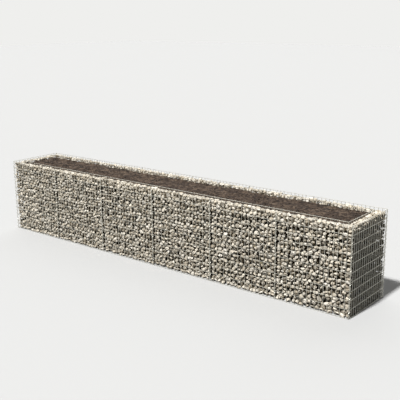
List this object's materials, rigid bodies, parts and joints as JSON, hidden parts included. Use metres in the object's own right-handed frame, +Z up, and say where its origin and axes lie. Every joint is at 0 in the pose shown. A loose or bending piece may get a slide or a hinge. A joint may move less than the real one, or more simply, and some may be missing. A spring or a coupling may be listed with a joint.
{
  "type": "gabion planter",
  "caption": "Long raised planter with a stone-filled double wall of welded wire mesh laced with spiral binders, and soil inside.",
  "frame": {"origin": "middle of the planter at ground level", "axes": "+X along the planter to its right-hand end, +Y from the front to the back, +Z up"},
  "size_m": [5.4274, 0.8272, 1],
  "materials": {
    "galvanised_mesh": "galvanised welded wire, dull grey",
    "galvanised_spirals": "galvanised spring wire, dull grey",
    "tie_wire": "galvanised wire, dull grey",
    "stones": "broken stone, rough, warm grey",
    "soil": "loose dark soil, crumbly"
  },
  "bodies": {
    "root": {"front_mesh_1": "galvanised_mesh", "front_mesh_2": "galvanised_mesh", "front_mesh_3": "galvanised_mesh", "front_mesh_4": "galvanised_mesh", "front_mesh_5": "galvanised_mesh", "front_mesh_6": "galvanised_mesh", "back_mesh_1": "galvanised_mesh", "back_mesh_2": "galvanised_mesh", "back_mesh_3": "galvanised_mesh", "back_mesh_4": "galvanised_mesh", "back_mesh_5": "galvanised_mesh", "back_mesh_6": "galvanised_mesh", "left_end_mesh": "galvanised_mesh", "right_end_mesh": "galvanised_mesh", "inner_front_mesh_1": "galvanised_mesh", "inner_front_mesh_2": "galvanised_mesh", "inner_front_mesh_3": "galvanised_mesh", "inner_front_mesh_4": "galvanised_mesh", "inner_front_mesh_5": "galvanised_mesh", "inner_front_mesh_6": "galvanised_mesh", "inner_back_mesh_1": "galvanised_mesh", "inner_back_mesh_2": "galvanised_mesh", "inner_back_mesh_3": "galvanised_mesh", "inner_back_mesh_4": "galvanised_mesh", "inner_back_mesh_5": "galvanised_mesh", "inner_back_mesh_6": "galvanised_mesh", "inner_left_mesh": "galvanised_mesh", "inner_right_mesh": "galvanised_mesh", "front_spirals": "galvanised_spirals", "back_spirals": "galvanised_spirals", "corner_spirals": "galvanised_spirals", "inner_front_spirals": "galvanised_spirals", "inner_back_spirals": "galvanised_spirals", "inner_corner_spirals": "galvanised_spirals", "front_ties": "tie_wire", "back_ties": "tie_wire", "end_ties": "tie_wire", "front_stones": "stones", "back_stones": "stones", "left_stones": "stones", "right_stones": "stones", "soil": "soil"}
  },
  "joints": []
}
